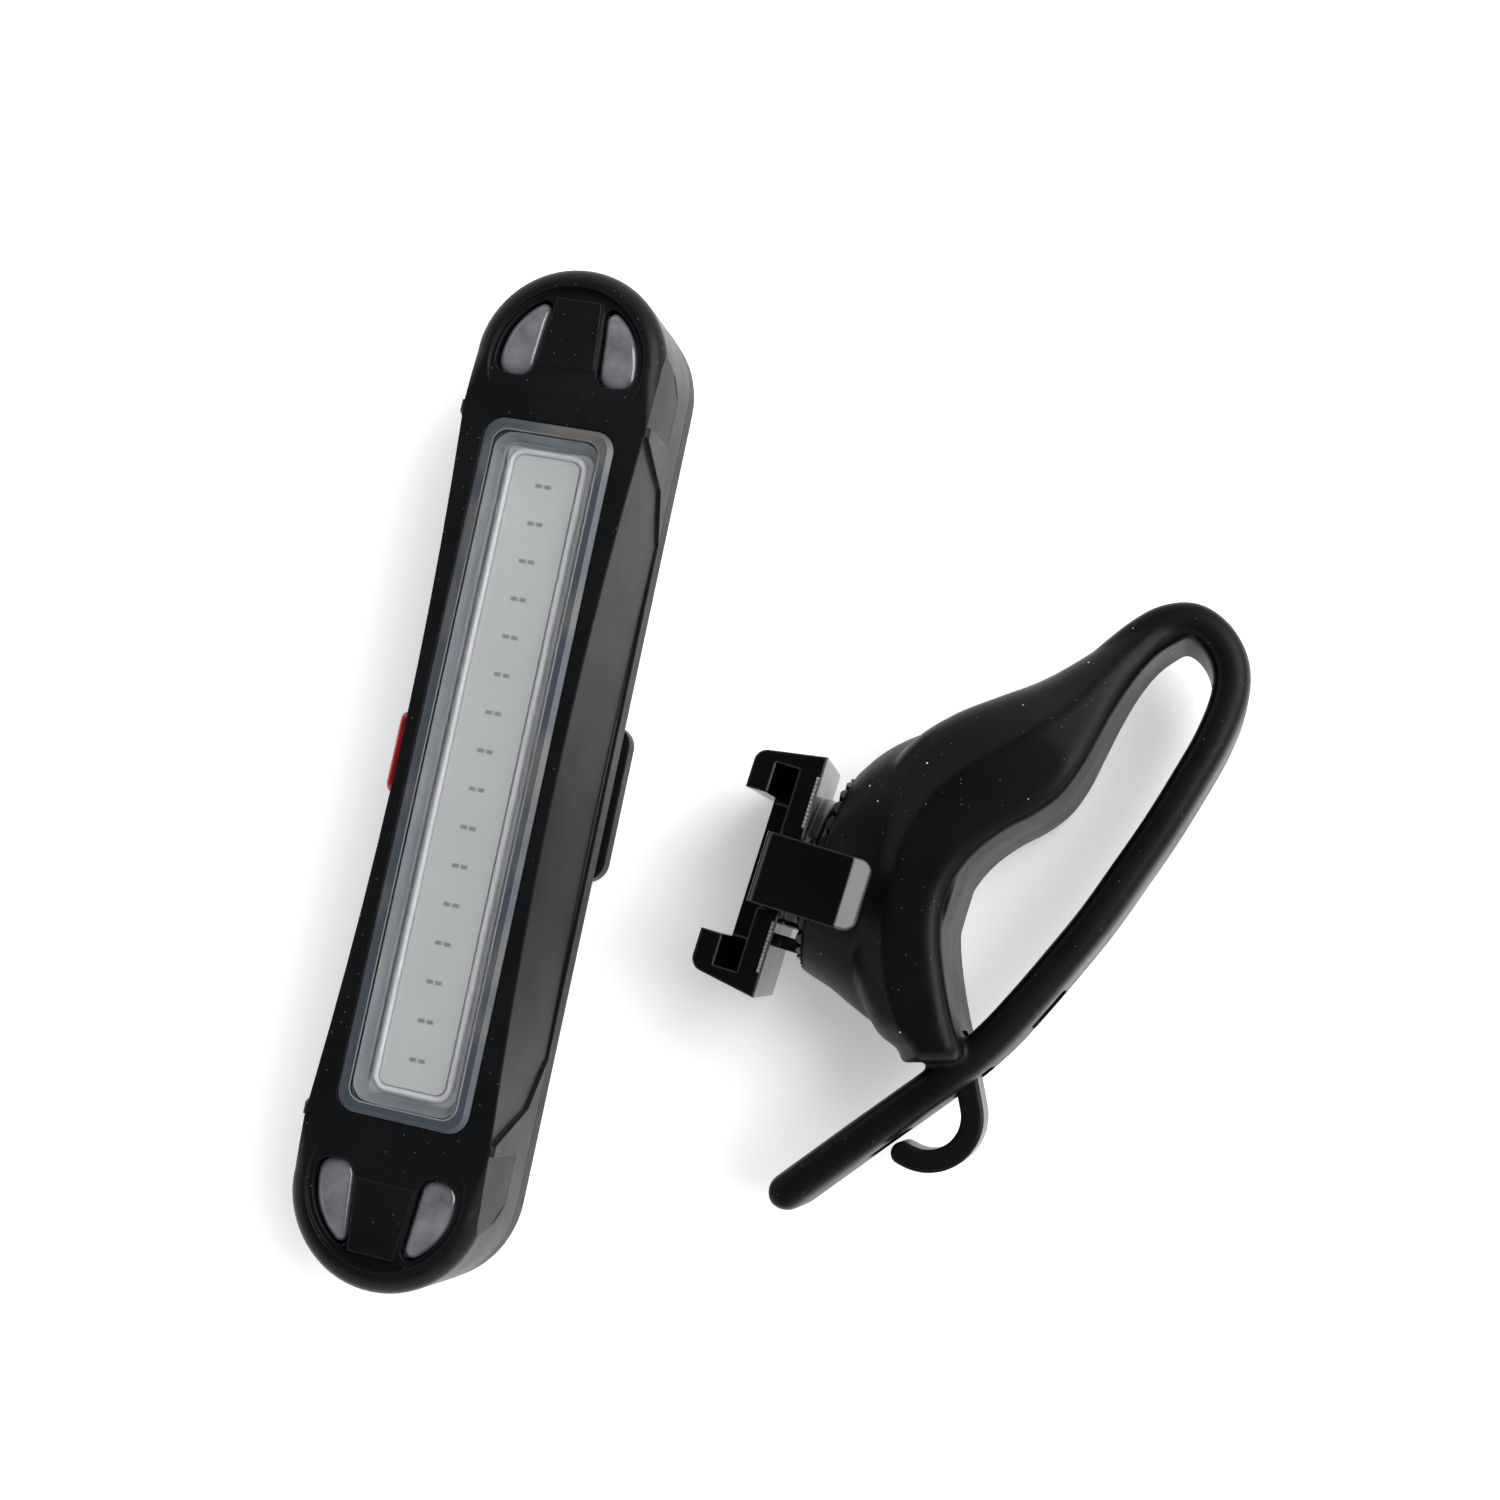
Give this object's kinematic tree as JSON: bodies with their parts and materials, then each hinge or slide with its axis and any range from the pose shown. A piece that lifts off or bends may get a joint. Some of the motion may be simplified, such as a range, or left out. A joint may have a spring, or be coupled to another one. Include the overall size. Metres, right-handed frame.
{
  "type": "bike tail light",
  "caption": "Long rounded bicycle tail light with a strip of light behind a clear bar lens, shown beside its rubber strap mount with a swivelling clip and hook.",
  "frame": {"origin": "centre of the flat back of the lamp's mount rail, on the surface that the lamp and its mount lie on", "axes": "+Z out of the lens, +Y along the lamp to its top end, +X from the lamp to the strap mount beside it"},
  "size_m": [0.0751, 0.095, 0.024],
  "materials": {
    "front_housing": "satin moulded ABS, fine grain",
    "rear_housing": "satin moulded ABS",
    "window_lens": "clear polycarbonate, polished",
    "top_end_windows": "grey translucent polycarbonate",
    "bottom_end_windows": "grey translucent polycarbonate",
    "led_strip_board": "white solder mask on aluminium",
    "silicone_dam": "white silicone bead",
    "phosphor_fill": "pale phosphor gel",
    "led_chips": "small grey chips",
    "thermal_tape": "grey thermal tape",
    "main_board": "green circuit board",
    "end_leds": "white package",
    "control_chip": "black epoxy package",
    "side_switch": "pressed steel case",
    "power_button": "red key",
    "button_seal": "silicone seal",
    "battery_cell": "foil pouch",
    "battery_foam": "soft foam pad",
    "battery_leads": "insulated wire",
    "strip_leads": "tinned copper",
    "charge_socket": "folded steel shell",
    "port_cover": "soft moulded rubber",
    "cover_anchor": "soft moulded rubber",
    "housing_gasket": "grey silicone ring",
    "housing_screws": "small pan-head screws",
    "saddle_strap": "matte silicone rubber",
    "hook_core": "black nylon",
    "detent_ring": "black acetal",
    "lamp_clip": "black acetal, glossy",
    "release_tab": "black acetal, glossy",
    "swivel_screw": "steel cap screw",
    "swivel_washer": "spring steel"
  },
  "bodies": {
    "lamp": {"front_housing": "front_housing", "rear_housing": "rear_housing", "window_lens": "window_lens", "top_end_windows": "top_end_windows", "bottom_end_windows": "bottom_end_windows", "led_strip_board": "led_strip_board", "silicone_dam": "silicone_dam", "phosphor_fill": "phosphor_fill", "led_chips": "led_chips", "thermal_tape": "thermal_tape", "main_board": "main_board", "end_leds": "end_leds", "control_chip": "control_chip", "side_switch": "side_switch", "button_seal": "button_seal", "battery_cell": "battery_cell", "battery_foam": "battery_foam", "battery_leads": "battery_leads", "strip_leads": "strip_leads", "charge_socket": "charge_socket", "cover_anchor": "cover_anchor", "housing_gasket": "housing_gasket", "housing_screws": "housing_screws"},
    "button": {"power_button": "power_button"},
    "cover": {"port_cover": "port_cover"},
    "mount": {"saddle_strap": "saddle_strap", "hook_core": "hook_core", "detent_ring": "detent_ring", "swivel_screw": "swivel_screw"},
    "clip": {"lamp_clip": "lamp_clip", "swivel_washer": "swivel_washer"},
    "tab": {"release_tab": "release_tab"}
  },
  "joints": [
    {"name": "button_press", "type": "slide", "parent": "lamp", "child": "button", "axis": [1, 0, 0], "range_m": [0, 0.0003], "stiffness_N_per_m": 3000, "springref_m": -0.0002},
    {"name": "cover_hinge", "type": "hinge", "parent": "lamp", "child": "cover", "pos_m": [0, -0.025, 0.004], "axis": [1, 0, 0], "range_deg": [0, 100]},
    {"name": "mount_lift", "type": "slide", "parent": "lamp", "child": "mount", "axis": [0, 0, 1], "range_m": [0, 0.06]},
    {"name": "clip_swivel", "type": "hinge", "parent": "mount", "child": "clip", "pos_m": [0.03037, -0.00221, 0.01], "axis": [0.9949, -0.1011, 0], "range_deg": [-20, 200]},
    {"name": "tab_flex", "type": "hinge", "parent": "clip", "child": "tab", "pos_m": [0.02915, -0.00389, 0.0175], "axis": [0.1011, 0.9949, 0], "range_deg": [0, 6.5], "stiffness_Nm_per_rad": 0.5}
  ]
}
